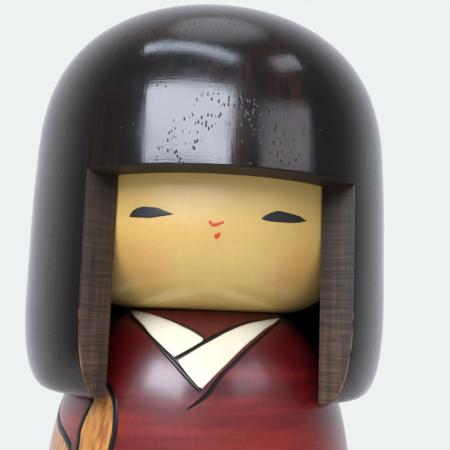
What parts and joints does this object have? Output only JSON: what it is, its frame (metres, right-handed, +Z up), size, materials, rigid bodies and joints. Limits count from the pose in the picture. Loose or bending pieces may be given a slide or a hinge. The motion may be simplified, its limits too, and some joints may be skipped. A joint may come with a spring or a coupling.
{
  "type": "kokeshi doll",
  "caption": "Turned wooden kokeshi doll with a bobbed hair cap over a pale head that turns on a peg in a red-stained body with a carved collar.",
  "frame": {"origin": "centre of the foot, on the surface that the doll stands on", "axes": "+Z up along the turning axis, the face looks along -Y, +X is to the right of someone who looks at the face"},
  "size_m": [0.09, 0.09, 0.1864],
  "materials": {
    "body": "red stain under semi-gloss wax, collar carved and painted",
    "neck_peg": "bare turned dowel",
    "head": "pale dogwood under clear lacquer, face painted",
    "hair_cap": "open-grained wood stained nearly black under gloss lacquer"
  },
  "bodies": {
    "torso": {"body": "body", "neck_peg": "neck_peg"},
    "turning_head": {"head": "head", "hair_cap": "hair_cap"}
  },
  "joints": [
    {"name": "head_turn", "type": "hinge", "parent": "torso", "child": "turning_head", "pos_m": [0, 0, 0.1098], "axis": [0, 0, 1], "continuous": true}
  ]
}
